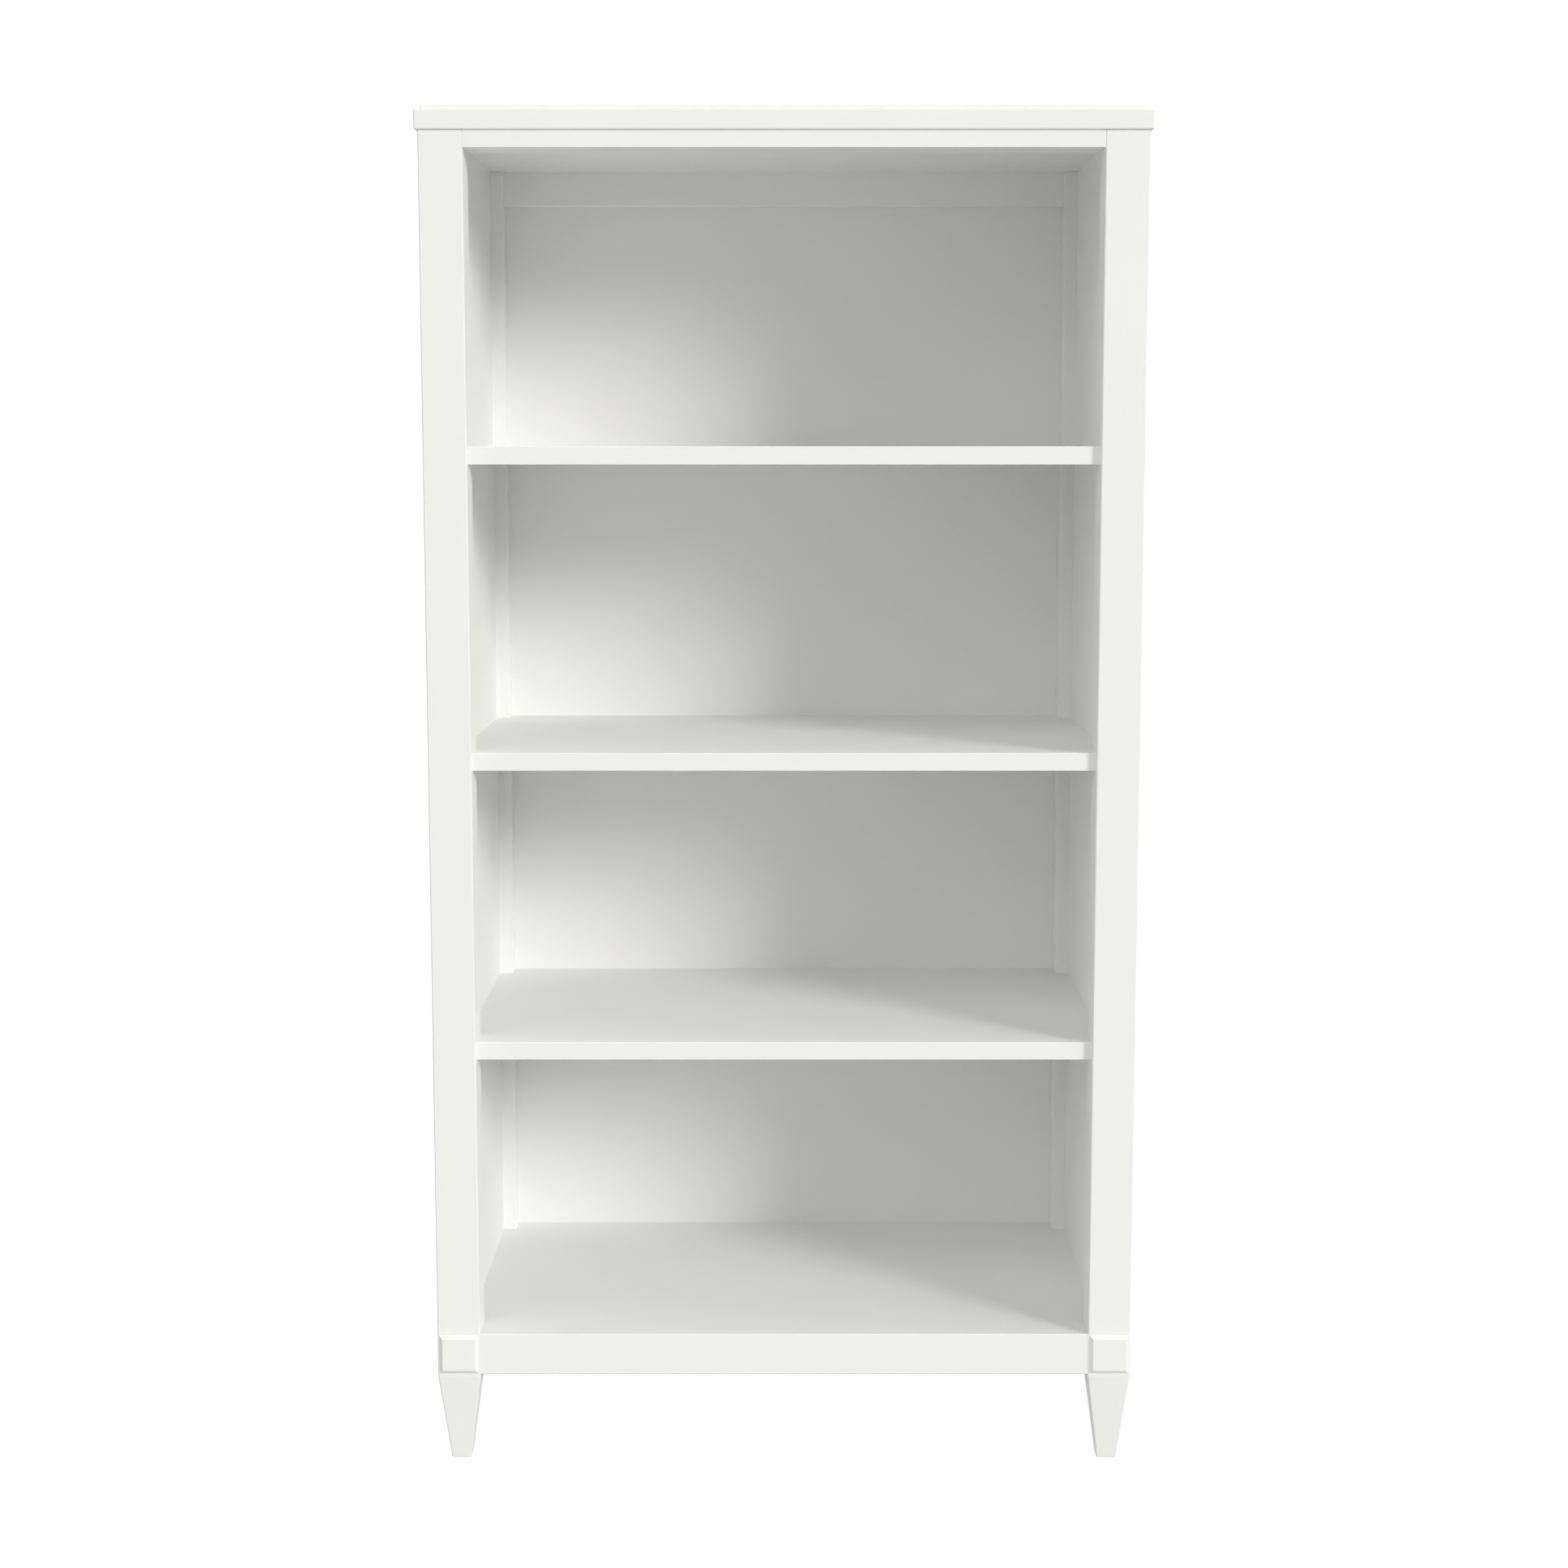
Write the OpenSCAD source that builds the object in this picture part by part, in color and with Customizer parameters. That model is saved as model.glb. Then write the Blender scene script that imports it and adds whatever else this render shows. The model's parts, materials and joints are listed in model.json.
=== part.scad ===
/* [Case] */
// Width across the outsides of the legs
case_w = 64; // [58:0.5:72]
// Depth from the front of the front legs to the back of the back legs
case_d = 37; // [30:0.5:44]
// Height from the ground to the underside of the top board
case_h = 121; // [112:0.5:130]
// Thickness of the board stock used for the shelves, the sides and the lower rails
board_t = 1.6; // [1.4:0.1:1.8]
// Bevel along the edges of legs, rails and the top
edge_bevel = 0.09; // [0.06:0.01:0.15]

/* [Legs] */
// Thickness of a square leg
leg_t = 3.9; // [3.7:0.1:4.2]
// Height of the tapered foot
foot_h = 8.2; // [6:0.1:8.2]
// Width of the foot where it meets the ground
foot_w = 1.8; // [1.2:0.1:3]
// How far the raised block stands out from the leg
block_t = 0.32; // [0.2:0.02:0.5]
// How far the raised block is set in from the edges of the leg
block_inset = 0.14; // [0.1:0.02:0.3]

/* [Top] */
// Thickness of the top board
top_board_t = 1.7; // [1.4:0.1:2]
// How far the top board reaches past the front of the legs
top_front_overhang = 0.2; // [0:0.05:1]
// How far the top board reaches past the sides of the legs
top_side_overhang = 0.3; // [0:0.05:1]
// Thickness of the raised plate on the top board
cap_t = 0.45; // [0.3:0.05:1]
// How far the raised plate is set in from the edge of the top board
cap_inset = 0.5; // [0.3:0.05:2]

/* [Rails] */
// How far the rails sit behind the faces of the legs
rail_recess = 0.04; // [0.02:0.01:0.2]
// Height of the top rails at the front and the sides
top_rail_h = 1.5; // [1.2:0.1:3]
// Height of the top rail at the back
back_top_rail_h = 3.3; // [2.6:0.1:6]
// Height of the bottom rails at the front and the sides
bottom_rail_h = 3.85; // [3.4:0.05:5]
// Height of the underside of the bottom rails above the ground
rail_bottom_z = 8.4; // [8.3:0.1:9]

/* [Shelves] */
// Height of the top of the lower shelf above the ground
lower_shelf_z = 39.6; // [34:0.2:44]
// Height of the top of the middle shelf above the ground
middle_shelf_z = 66.2; // [60:0.2:72]
// Height of the top of the upper shelf above the ground
upper_shelf_z = 93.6; // [88:0.2:99]
// How far the front edge of a shelf sits behind the front of the legs
shelf_setback = 0.8; // [0.4:0.1:3]
// Bevel along the upper front edge of a shelf
shelf_bevel = 0.08; // [0.04:0.01:0.2]

/* [Panels] */
// How far the outer face of a side panel sits behind the outsides of the legs
side_recess = 1; // [0.8:0.05:1.4]
// Thickness of the back panel
back_panel_t = 0.8; // [0.5:0.1:1]
// How far the back of the back panel sits in front of the backs of the legs
back_recess = 0.55; // [0.3:0.05:0.8]

/* [Joints] */
// Length of the stub tenons at the ends of the rails
tenon_l = 1; // [0.6:0.1:1.2]
// Depth of the grooves in the legs that hold the edges of the side panels
groove_d = 0.6; // [0.3:0.1:0.8]
// Depth of the housings in the side panels that hold the ends of the shelves
housing_d = 0.5; // [0.2:0.1:0.8]
// Width of the rebates in the back legs that hold the edges of the back panel
rebate_w = 0.9; // [0.5:0.1:0.9]

/* [Hidden] */

paint = "#eef0eb";
inside_paint = "#d9dad3";

// A cut runs this far past an outer face, so that it opens cleanly
past = 1;

// The origin is under the middle of the whole depth, blocks and top board included
front_reach = max(top_front_overhang, block_t);
total_d = case_d + front_reach;
front_y = -total_d / 2 + front_reach;
back_y = total_d / 2;
outer_x = case_w / 2;

top_side_x = outer_x + top_side_overhang;
top_front_y = front_y - top_front_overhang;
top_d = case_d + top_front_overhang;

leg_inner_x = outer_x - leg_t;
leg_mid_x = outer_x - leg_t / 2;
front_leg_y = front_y + leg_t / 2;
back_leg_y = back_y - leg_t / 2;
behind_front_legs_y = front_y + leg_t;
before_back_legs_y = back_y - leg_t;

panel_outer_x = outer_x - side_recess;
panel_inner_x = panel_outer_x - board_t;
back_panel_y = back_y - back_recess - back_panel_t;
back_rail_y = back_panel_y - board_t;
rail_front_y = front_y + rail_recess;

floor_top_z = rail_bottom_z + bottom_rail_h;
back_bottom_rail_h = bottom_rail_h - board_t;
housed_tops = [floor_top_z, lower_shelf_z, middle_shelf_z, upper_shelf_z];

block_size = leg_t - 2 * block_inset;
block_z = floor_top_z - edge_bevel - block_size / 2;

// Bevels at the corners of a section: lower near, lower far, upper far, upper near,
// where the near side is towards -Y on a bar along X, and towards -X on a bar along Y
ALL_ROUND = edge_bevel * [1, 1, 1, 1];
LOWER_NEAR = edge_bevel * [1, 0, 0, 0];
LOWER_FAR = edge_bevel * [0, 1, 0, 0];
BOTH_NEAR = edge_bevel * [1, 0, 0, 1];
BOTH_FAR = edge_bevel * [0, 1, 1, 0];
SQUARE = [0, 0, 0, 0];

// The share of a rail's section that its stub tenon takes
tenon_share = 0.55;

// A tongue of the floor board sits in a groove in the back of the front rail
floor_tongue_t = 0.6;
floor_tongue_d = 0.5;

// A corner of an outline, cut at 45 degrees where its bevel is above 0
function cut_corner(p, before, after, b) = b > 0 ? [p + b * before, p + b * after] : [p];

// A rectangle from the origin, with a bevel of its own at each corner
module bevelled_outline(w, h, bevels) {
    polygon(concat(
        cut_corner([0, 0], [0, 1], [1, 0], bevels[0]),
        cut_corner([w, 0], [-1, 0], [0, 1], bevels[1]),
        cut_corner([w, h], [0, -1], [-1, 0], bevels[2]),
        cut_corner([0, h], [1, 0], [0, -1], bevels[3])
    ));
}

// A bar along X from its lowest corner, with bevels along its four long edges
module bar_x(from, size, bevels) {
    translate(from)
        rotate([90, 0, 90])
            linear_extrude(size[0])
                bevelled_outline(size[1], size[2], bevels);
}

// A bar along Y from its lowest corner, with bevels along its four long edges
module bar_y(from, size, bevels) {
    translate(from + [0, size[1], 0])
        rotate([90, 0, 0])
            linear_extrude(size[1])
                bevelled_outline(size[0], size[2], bevels);
}

// A board from its lowest corner, with all twelve edges bevelled
module bevelled_board(from, size) {
    intersection() {
        bar_x(from, size, ALL_ROUND);
        bar_y(from, size, ALL_ROUND);
        translate(from)
            linear_extrude(size[2])
                bevelled_outline(size[0], size[1], ALL_ROUND);
    }
}

// A box from its lowest to its highest corner
module box_between(low, high) {
    translate(low)
        cube(high - low);
}

// Left copies of what is drawn on the right
module on_left() {
    mirror([1, 0, 0])
        children();
}

// The eight corners of a leg's section at a height, round a square with cut corners
function leg_ring(z, w, b) = [
    for (turn = [0:3])
        for (corner = [[w / 2, w / 2 - b], [w / 2 - b, w / 2]])
            concat(quarter_turns(corner, turn), z)
];

// A point turned round the leg's axis by a number of quarter turns
function quarter_turns(p, n) = n == 0 ? p : quarter_turns([-p[1], p[0]], n - 1);

// A square leg with its foot, standing on the origin
module plain_leg() {
    end_bevel = edge_bevel / 2;
    rings = [
        leg_ring(0, foot_w - 2 * edge_bevel, end_bevel),
        leg_ring(edge_bevel, foot_w, edge_bevel),
        leg_ring(foot_h, leg_t, edge_bevel),
        leg_ring(case_h - edge_bevel, leg_t, edge_bevel),
        leg_ring(case_h, leg_t - 2 * edge_bevel, end_bevel)
    ];
    last = len(rings) - 1;
    polyhedron(
        points = [for (ring = rings) each ring],
        faces = concat(
            [[for (i = [0:7]) i]],
            [for (level = [0:last - 1]) for (i = [0:7]) [
                level * 8 + i,
                (level + 1) * 8 + i,
                (level + 1) * 8 + (i + 1) % 8,
                level * 8 + (i + 1) % 8
            ]],
            [[for (i = [7:-1:0]) last * 8 + i]]
        )
    );
}

// The stub tenon on the right end of a rail, centred in the rail's section
module tenon(y, z, t, h) {
    tenon_t = t * tenon_share;
    tenon_h = h * tenon_share;
    translate([leg_inner_x, y + (t - tenon_t) / 2, z + (h - tenon_h) / 2])
        cube([tenon_l, tenon_t, tenon_h]);
}

module front_top_tenon() {
    tenon(rail_front_y, case_h - top_rail_h, leg_t - rail_recess, top_rail_h);
}

module front_bottom_tenon() {
    tenon(rail_front_y, rail_bottom_z, board_t, bottom_rail_h);
}

module back_top_tenon() {
    tenon(back_rail_y, case_h - back_top_rail_h, board_t, back_top_rail_h);
}

module back_bottom_tenon() {
    tenon(back_rail_y, rail_bottom_z, board_t, back_bottom_rail_h);
}

// A rail between two legs, with a tenon at each end
module cross_rail(y, z, t, h, bevels) {
    bar_x([-leg_inner_x, y, z], [2 * leg_inner_x, t, h], bevels);
    tenon(y, z, t, h);
    on_left()
        tenon(y, z, t, h);
}

// The edges of the right side panel, as they lie in the grooves of the legs
module side_panel_blank() {
    box_between(
        [panel_inner_x, behind_front_legs_y - groove_d, rail_bottom_z],
        [panel_outer_x, before_back_legs_y + groove_d, case_h]
    );
}

module front_leg_right_shape() {
    difference() {
        translate([leg_mid_x, front_leg_y, 0])
            plain_leg();
        side_panel_blank();
        front_top_tenon();
        front_bottom_tenon();
    }
}

module back_leg_right_shape() {
    difference() {
        translate([leg_mid_x, back_leg_y, 0])
            plain_leg();
        side_panel_blank();
        back_top_tenon();
        back_bottom_tenon();
        box_between(
            [leg_inner_x - past, back_panel_y, rail_bottom_z],
            [leg_inner_x + rebate_w, back_y + past, case_h + past]
        );
    }
}

// A square plate with a bevel all round its face, on the front of the leg
module leg_block_right_shape() {
    intersection() {
        translate([leg_mid_x, front_y, block_z - block_size / 2])
            linear_extrude(block_size)
                block_outline();
        translate([leg_mid_x - block_size / 2, front_y, block_z])
            rotate([0, 90, 0])
                linear_extrude(block_size)
                    block_outline();
    }
}

// The section of the block: its back on the leg, its face towards -Y
module block_outline() {
    half = block_size / 2;
    polygon([
        [-half, 0], [-half + block_t, -block_t],
        [half - block_t, -block_t], [half, 0]
    ]);
}

// The plan of a shelf or of the floor, notched round the four legs
module shelf_plan(start_y) {
    polygon([
        [-leg_inner_x, start_y], [leg_inner_x, start_y],
        [leg_inner_x, behind_front_legs_y],
        [panel_inner_x + housing_d, behind_front_legs_y],
        [panel_inner_x + housing_d, before_back_legs_y],
        [leg_inner_x, before_back_legs_y],
        [leg_inner_x, back_panel_y], [-leg_inner_x, back_panel_y],
        [-leg_inner_x, before_back_legs_y],
        [-panel_inner_x - housing_d, before_back_legs_y],
        [-panel_inner_x - housing_d, behind_front_legs_y],
        [-leg_inner_x, behind_front_legs_y]
    ]);
}

// A shelf under the given height, with its upper front edge bevelled
module shelf(top_z) {
    shelf_front_y = front_y + shelf_setback;
    bottom_z = top_z - board_t;
    intersection() {
        translate([0, 0, bottom_z])
            linear_extrude(board_t)
                shelf_plan(shelf_front_y);
        bar_x(
            [-outer_x, shelf_front_y, bottom_z],
            [case_w, total_d, board_t],
            shelf_bevel * [0, 0, 0, 1]
        );
    }
}

module side_panel_right_shape() {
    difference() {
        side_panel_blank();
        for (top_z = housed_tops)
            box_between(
                [panel_inner_x - past, behind_front_legs_y, top_z - board_t],
                [panel_inner_x + housing_d, before_back_legs_y, top_z]
            );
    }
}

// A rail between the front and the back leg, on the outside of the side panel
module side_rail_right_shape(z, h, bevels) {
    bar_y(
        [panel_outer_x, behind_front_legs_y, z],
        [side_recess - rail_recess, before_back_legs_y - behind_front_legs_y, h],
        bevels
    );
}

// The tongue along the front edge of the floor board
module floor_tongue() {
    tongue_y = rail_front_y + board_t - floor_tongue_d;
    tongue_z = floor_top_z - (board_t + floor_tongue_t) / 2;
    box_between(
        [-leg_inner_x, tongue_y, tongue_z],
        [leg_inner_x, tongue_y + floor_tongue_d, tongue_z + floor_tongue_t]
    );
}

module top_cap() {
    color(paint)
        bevelled_board(
            [-top_side_x + cap_inset, top_front_y + cap_inset, case_h + top_board_t],
            [2 * (top_side_x - cap_inset), top_d - 2 * cap_inset, cap_t]
        );
}

module top_board() {
    color(paint)
        bevelled_board(
            [-top_side_x, top_front_y, case_h],
            [2 * top_side_x, top_d, top_board_t]
        );
}

module front_top_rail() {
    color(paint)
        cross_rail(rail_front_y, case_h - top_rail_h, leg_t - rail_recess, top_rail_h, SQUARE);
}

module front_bottom_rail() {
    color(paint)
        difference() {
            cross_rail(rail_front_y, rail_bottom_z, board_t, bottom_rail_h, BOTH_NEAR);
            floor_tongue();
        }
}

module back_top_rail() {
    color(inside_paint)
        cross_rail(back_rail_y, case_h - back_top_rail_h, board_t, back_top_rail_h, LOWER_NEAR);
}

module back_bottom_rail() {
    color(inside_paint)
        cross_rail(back_rail_y, rail_bottom_z, board_t, back_bottom_rail_h, LOWER_FAR);
}

module side_top_rail_right() {
    color(paint)
        side_rail_right_shape(case_h - top_rail_h, top_rail_h, LOWER_FAR);
}

module side_top_rail_left() {
    on_left()
        side_top_rail_right();
}

module side_bottom_rail_right() {
    color(paint)
        side_rail_right_shape(rail_bottom_z, bottom_rail_h, BOTH_FAR);
}

module side_bottom_rail_left() {
    on_left()
        side_bottom_rail_right();
}

module front_leg_right() {
    color(paint)
        front_leg_right_shape();
}

module front_leg_left() {
    on_left()
        front_leg_right();
}

module back_leg_right() {
    color(paint)
        back_leg_right_shape();
}

module back_leg_left() {
    on_left()
        back_leg_right();
}

module leg_block_right() {
    color(paint)
        leg_block_right_shape();
}

module leg_block_left() {
    on_left()
        leg_block_right();
}

module side_panel_right() {
    color(inside_paint)
        side_panel_right_shape();
}

module side_panel_left() {
    on_left()
        side_panel_right();
}

module back_panel() {
    color(inside_paint)
        box_between(
            [-leg_inner_x - rebate_w, back_panel_y, rail_bottom_z],
            [leg_inner_x + rebate_w, back_panel_y + back_panel_t, case_h]
        );
}

module floor_board() {
    color(inside_paint) {
        translate([0, 0, floor_top_z - board_t])
            linear_extrude(board_t)
                shelf_plan(rail_front_y + board_t);
        floor_tongue();
    }
}

module lower_shelf() {
    color(inside_paint)
        shelf(lower_shelf_z);
}

module middle_shelf() {
    color(inside_paint)
        shelf(middle_shelf_z);
}

module upper_shelf() {
    color(inside_paint)
        shelf(upper_shelf_z);
}

top_cap();
top_board();
front_top_rail();
front_bottom_rail();
back_top_rail();
back_bottom_rail();
side_top_rail_left();
side_top_rail_right();
side_bottom_rail_left();
side_bottom_rail_right();
front_leg_left();
front_leg_right();
back_leg_left();
back_leg_right();
leg_block_left();
leg_block_right();
side_panel_left();
side_panel_right();
back_panel();
floor_board();
lower_shelf();
middle_shelf();
upper_shelf();
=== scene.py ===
import json
import math

import bpy
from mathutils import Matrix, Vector

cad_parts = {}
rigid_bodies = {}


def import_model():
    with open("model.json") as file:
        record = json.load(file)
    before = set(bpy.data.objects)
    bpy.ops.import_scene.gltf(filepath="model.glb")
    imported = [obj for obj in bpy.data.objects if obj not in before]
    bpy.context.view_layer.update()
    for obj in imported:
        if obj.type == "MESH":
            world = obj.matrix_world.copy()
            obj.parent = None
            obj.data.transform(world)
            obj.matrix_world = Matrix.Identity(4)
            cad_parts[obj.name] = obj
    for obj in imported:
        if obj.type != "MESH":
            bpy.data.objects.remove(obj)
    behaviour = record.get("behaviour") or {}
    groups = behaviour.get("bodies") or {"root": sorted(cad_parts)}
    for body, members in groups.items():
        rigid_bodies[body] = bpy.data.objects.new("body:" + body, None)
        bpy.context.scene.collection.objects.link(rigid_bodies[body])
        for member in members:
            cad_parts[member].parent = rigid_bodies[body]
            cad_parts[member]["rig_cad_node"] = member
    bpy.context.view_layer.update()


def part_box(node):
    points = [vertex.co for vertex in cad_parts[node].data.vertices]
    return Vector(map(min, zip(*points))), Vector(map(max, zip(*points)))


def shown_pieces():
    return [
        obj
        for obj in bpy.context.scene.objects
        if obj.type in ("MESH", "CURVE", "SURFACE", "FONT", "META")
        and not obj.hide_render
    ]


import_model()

MM = 0.001
scene = bpy.context.scene

# ---------------------------------------------------------------- camera
# The pitch is in degrees below level; the sensor and the lens are in mm.
CAMERA_AT = (0.0, -249.515 * MM, 92.28 * MM)
CAMERA_PITCH = 7.10
SENSOR = 36.0
LENS = 59.48
CLIP_NEAR = 0.005
CLIP_FAR = 20.0

# ---------------------------------------------------------------- lights
# Name, azimuth from the front (+ is to the right), elevation and spread in
# degrees, strength and colour.
SUNS = [
    ("key", 46.0, 17.5, 18.0, 1.64, (1.0, 0.993, 0.958)),
    ("high_right", 75.0, 60.0, 25.0, 0.45, (1.0, 0.998, 0.970)),
    ("fill", -46.0, 24.0, 40.0, 0.40, (0.995, 1.0, 0.980)),
    ("front", -9.0, 41.0, 40.0, 0.43, (0.98, 1.0, 0.985)),
    ("behind_right", 165.0, 10.0, 40.0, 0.90, (1.0, 0.995, 0.970)),
    ("behind_left", -140.0, 10.0, 50.0, 0.75, (0.995, 1.0, 0.985)),
]
SKY_ABOVE = 0.32
SKY_BELOW = 0.46
SKY_COLOR = (1.0, 1.0, 0.985)
# The two strengths blend between this far below and above the horizon.
HORIZON_BLEND = 0.08

# ---------------------------------------------------------------- paint
# Warm white satin paint: its usual colour, and where the film is thinner.
PAINT = (0.942, 0.946, 0.925)
PAINT_THIN = (0.931, 0.934, 0.908)
# The tone noise turns from one colour to the other between these values.
TONE_FROM = 0.35
TONE_TO = 0.75
TONE_SIZE = 9.0 * MM
ROUGHNESS = (0.46, 0.60)
# Size of the unevenness in the film, and of the wood grain that shows
# through it, each with the height of its relief.
FILM_SIZE = 0.55 * MM
FILM_RELIEF = 0.006 * MM
GRAIN_ACROSS = 0.26 * MM
GRAIN_ALONG = 5.0 * MM
GRAIN_RELIEF = 0.004 * MM
# Paint rounds every edge that is sharper than this angle in degrees.
SOFTENED_EDGE = 0.025 * MM
SOFTENED_STEPS = 2
SHARP_ANGLE = 25.0

# ---------------------------------------------------------------- floor
# In metres: the radius of the flat part, the radius of the bend that leads
# up to the wall, and the height of the wall.
FLOOR_RADIUS = 2.0
FLOOR_BEND = 0.8
WALL_TOP = 3.0
BEND_STEPS = 16
FLOOR_TURNS = 64
FLOOR_COLOR = (0.25, 0.25, 0.25)
FLOOR_ROUGHNESS = 0.9
FLOOR_GLOW = 0.88


def aim(obj, at, target):
    """Place obj at a point and turn its -Z towards target."""
    obj.location = at
    way = Vector(target) - Vector(at)
    obj.rotation_euler = way.to_track_quat("-Z", "Y").to_euler()


def direction(azimuth, elevation):
    """Unit vector towards a light; azimuth 0 is straight in front."""
    a, e = math.radians(azimuth), math.radians(elevation)
    level = math.cos(e)
    return Vector((math.sin(a) * level, -math.cos(a) * level, math.sin(e)))


def add_camera():
    data = bpy.data.cameras.new("camera")
    data.sensor_width = SENSOR
    data.lens = LENS
    data.clip_start = CLIP_NEAR
    data.clip_end = CLIP_FAR
    cam = bpy.data.objects.new("camera", data)
    cam.location = CAMERA_AT
    cam.rotation_euler = (math.radians(90.0 - CAMERA_PITCH), 0.0, 0.0)
    scene.collection.objects.link(cam)
    scene.camera = cam


def add_sun(name, azimuth, elevation, spread, strength, color):
    """Add a distant light that shines on the origin."""
    data = bpy.data.lights.new(name, "SUN")
    data.angle = math.radians(spread)
    data.energy = strength
    data.color = color
    lamp = bpy.data.objects.new(name, data)
    scene.collection.objects.link(lamp)
    aim(lamp, direction(azimuth, elevation), (0, 0, 0))


def add_world():
    """Dim soft light from above, brighter from below as a white floor gives."""
    world = bpy.data.worlds.new("world")
    world.use_nodes = True
    nodes, links = world.node_tree.nodes, world.node_tree.links
    back = nodes["Background"]
    coord = nodes.new("ShaderNodeTexCoord")
    axes = nodes.new("ShaderNodeSeparateXYZ")
    blend = nodes.new("ShaderNodeMapRange")
    blend.inputs["From Min"].default_value = -HORIZON_BLEND
    blend.inputs["From Max"].default_value = HORIZON_BLEND
    blend.inputs["To Min"].default_value = SKY_BELOW
    blend.inputs["To Max"].default_value = SKY_ABOVE
    links.new(coord.outputs["Generated"], axes.inputs[0])
    links.new(axes.outputs["Z"], blend.inputs["Value"])
    links.new(blend.outputs["Result"], back.inputs["Strength"])
    back.inputs["Color"].default_value = (*SKY_COLOR, 1)
    scene.world = world


def new_material(name):
    """A node material with its nodes and its links."""
    mat = bpy.data.materials.new(name)
    mat.use_nodes = True
    return mat, mat.node_tree.nodes, mat.node_tree.links


def noise(nodes, links, vector, scale, detail, roughness=0.5):
    """The value of a noise texture at a vector."""
    tex = nodes.new("ShaderNodeTexNoise")
    tex.inputs["Scale"].default_value = scale
    tex.inputs["Detail"].default_value = detail
    tex.inputs["Roughness"].default_value = roughness
    links.new(vector, tex.inputs["Vector"])
    return tex.outputs["Fac"]


def painted(name, grain_axis):
    """Satin white paint over fine wood whose grain runs along one axis."""
    mat, nodes, links = new_material(name)
    bsdf = nodes["Principled BSDF"]
    place = nodes.new("ShaderNodeTexCoord").outputs["Object"]

    stretch = nodes.new("ShaderNodeMapping")
    scales = [1.0 / GRAIN_ACROSS] * 3
    scales["xyz".index(grain_axis)] = 1.0 / GRAIN_ALONG
    stretch.inputs["Scale"].default_value = scales
    links.new(place, stretch.inputs["Vector"])
    grain = noise(nodes, links, stretch.outputs["Vector"], 1.0, 3.0, 0.55)
    film = noise(nodes, links, place, 1.0 / FILM_SIZE, 1.5)
    tone = noise(nodes, links, place, 1.0 / TONE_SIZE, 3.0)

    thin = nodes.new("ShaderNodeMapRange")
    thin.inputs["From Min"].default_value = TONE_FROM
    thin.inputs["From Max"].default_value = TONE_TO
    links.new(tone, thin.inputs["Value"])
    color = nodes.new("ShaderNodeMix")
    color.data_type = "RGBA"
    color.inputs["A"].default_value = (*PAINT, 1)
    color.inputs["B"].default_value = (*PAINT_THIN, 1)
    links.new(thin.outputs["Result"], color.inputs["Factor"])
    links.new(color.outputs["Result"], bsdf.inputs["Base Color"])

    sheen = nodes.new("ShaderNodeMapRange")
    sheen.inputs["To Min"].default_value = ROUGHNESS[0]
    sheen.inputs["To Max"].default_value = ROUGHNESS[1]
    links.new(film, sheen.inputs["Value"])
    links.new(sheen.outputs["Result"], bsdf.inputs["Roughness"])

    normal = None
    for height, depth in ((film, FILM_RELIEF), (grain, GRAIN_RELIEF)):
        bump = nodes.new("ShaderNodeBump")
        bump.inputs["Strength"].default_value = 1.0
        bump.inputs["Distance"].default_value = depth
        links.new(height, bump.inputs["Height"])
        if normal is not None:
            links.new(normal, bump.inputs["Normal"])
        normal = bump.outputs["Normal"]
    links.new(normal, bsdf.inputs["Normal"])
    return mat


def long_axis(node):
    """The axis that a piece's wood grain runs along."""
    low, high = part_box(node)
    size = [high[i] - low[i] for i in range(3)]
    return "xyz"[size.index(max(size))]


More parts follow.
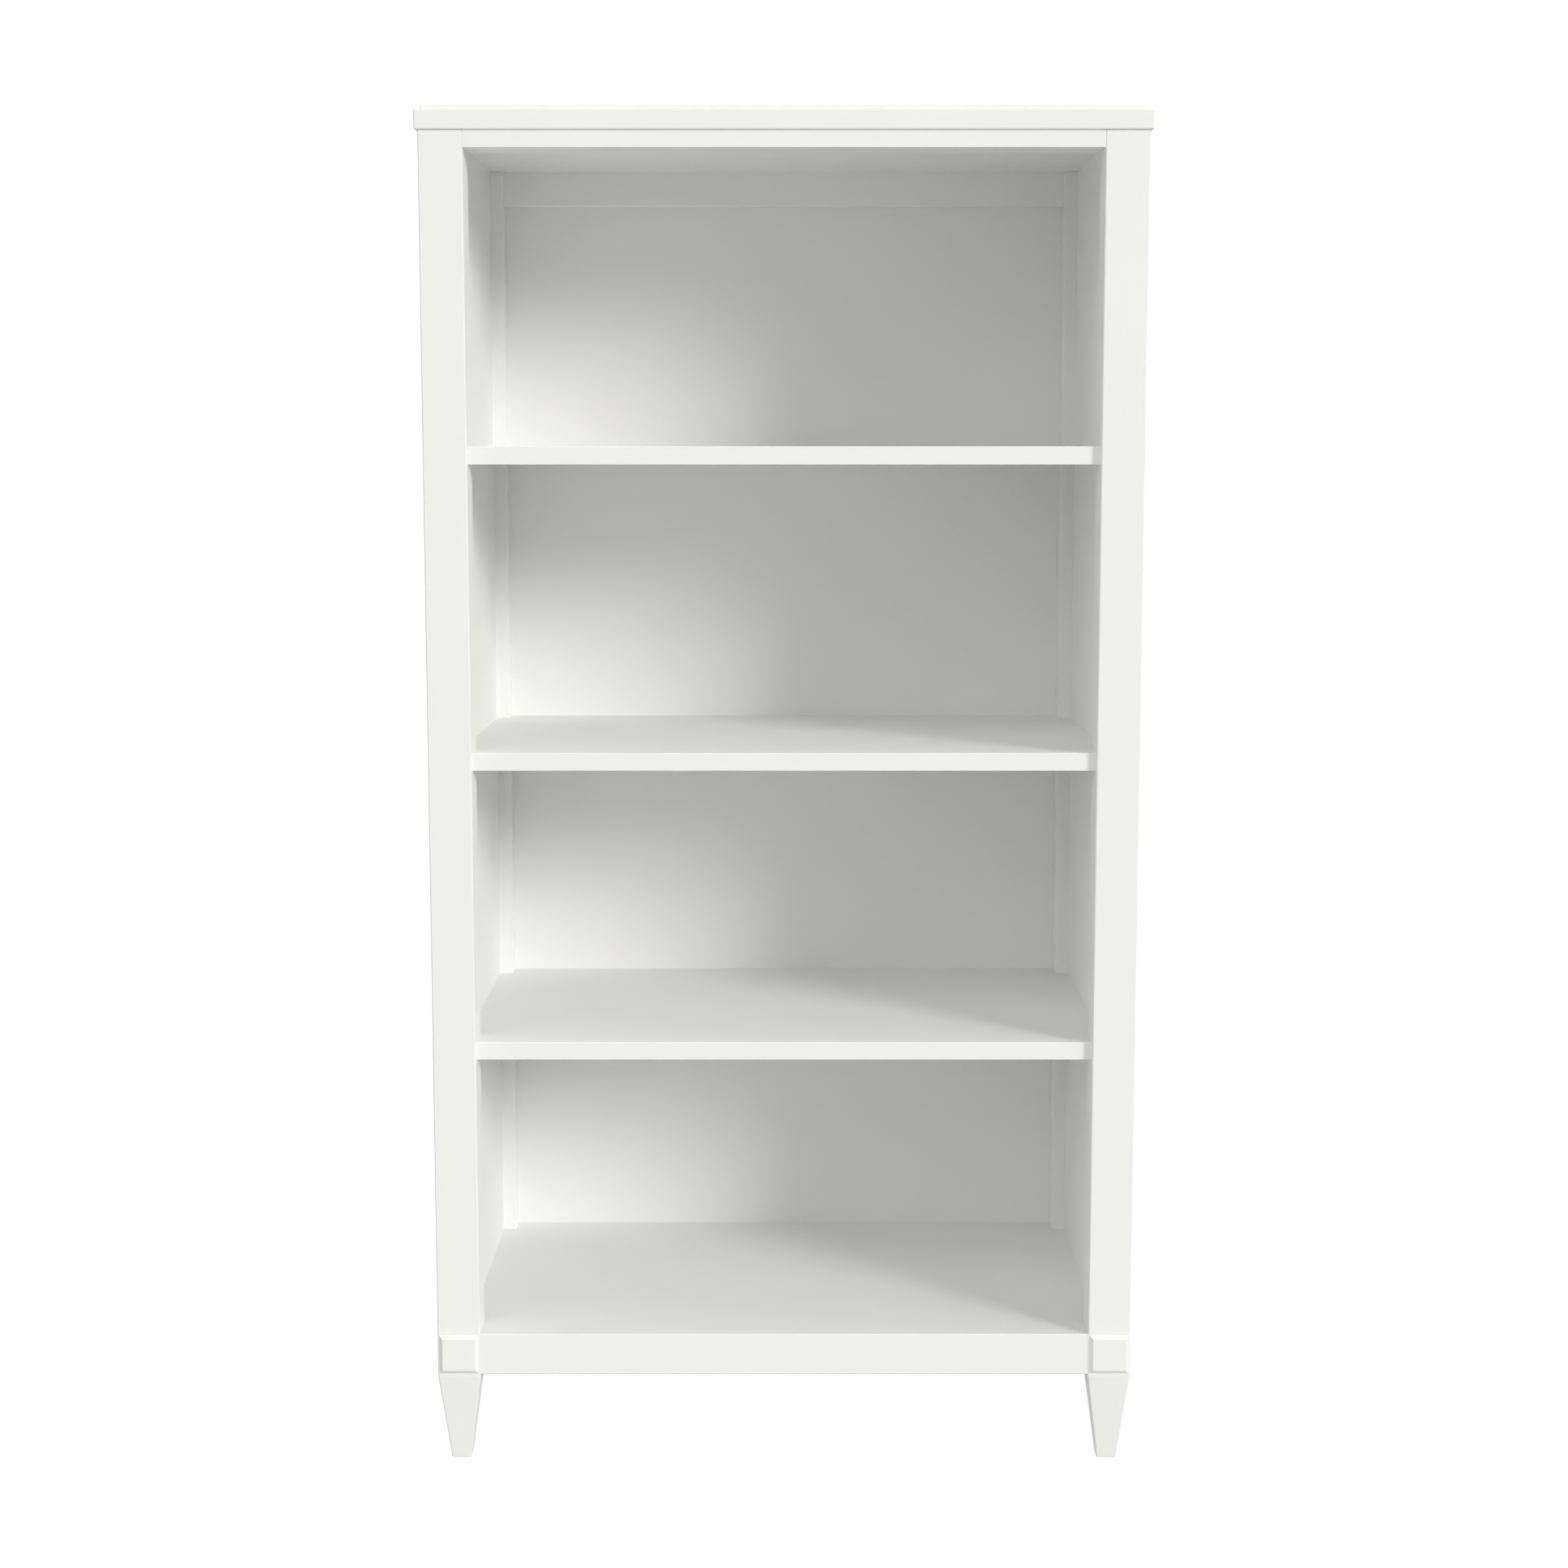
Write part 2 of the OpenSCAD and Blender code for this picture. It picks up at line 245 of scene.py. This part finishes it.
def dress():
    """Paint every CAD piece and soften its sharp edges a little."""
    made = {}
    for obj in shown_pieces():
        node = obj["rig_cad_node"]
        key = (obj.get("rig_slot", "painted"), long_axis(node))
        if key not in made:
            made[key] = painted("_".join(key), key[1])
        obj.data.materials.clear()
        obj.data.materials.append(made[key])
        soften = obj.modifiers.new("softened_edges", "BEVEL")
        soften.width = SOFTENED_EDGE
        soften.segments = SOFTENED_STEPS
        soften.limit_method = "ANGLE"
        soften.angle_limit = math.radians(SHARP_ANGLE)
        soften.use_clamp_overlap = True


def add_floor():
    """White studio floor: a round plane that curves up into a wall all round."""
    profile = []
    for i in range(BEND_STEPS + 1):
        t = math.radians(90.0 * i / BEND_STEPS)
        out = FLOOR_RADIUS + FLOOR_BEND * math.sin(t)
        profile.append((out, FLOOR_BEND * (1.0 - math.cos(t))))
    profile.append((FLOOR_RADIUS + FLOOR_BEND, WALL_TOP))
    verts = [(0.0, 0.0, 0.0)]
    for i in range(FLOOR_TURNS):
        a = 2.0 * math.pi * i / FLOOR_TURNS
        verts += [(r * math.cos(a), r * math.sin(a), z) for r, z in profile]
    rings = len(profile)
    faces = []
    for i in range(FLOOR_TURNS):
        here = 1 + i * rings
        there = 1 + (i + 1) % FLOOR_TURNS * rings
        faces.append((0, here, there))
        for k in range(rings - 1):
            faces.append((here + k, here + k + 1, there + k + 1, there + k))
    mesh = bpy.data.meshes.new("floor")
    mesh.from_pydata(verts, [], faces)
    mesh.polygons.foreach_set("use_smooth", [True] * len(faces))
    obj = bpy.data.objects.new("floor", mesh)
    scene.collection.objects.link(obj)
    mat, nodes, links = new_material("floor_white")
    bsdf = nodes["Principled BSDF"]
    bsdf.inputs["Roughness"].default_value = FLOOR_ROUGHNESS
    bsdf.inputs["Specular IOR Level"].default_value = 0.0
    bsdf.inputs["Base Color"].default_value = (*FLOOR_COLOR, 1)
    bsdf.inputs["Emission Color"].default_value = (1, 1, 1, 1)
    bsdf.inputs["Emission Strength"].default_value = FLOOR_GLOW
    mesh.materials.append(mat)
    # The light that a white floor sends up is in the world below the horizon.
    obj.visible_diffuse = False
    obj.visible_glossy = False
    obj.visible_shadow = False


scene.view_settings.view_transform = "Standard"
add_camera()
add_world()
for sun in SUNS:
    add_sun(*sun)
dress()
add_floor()
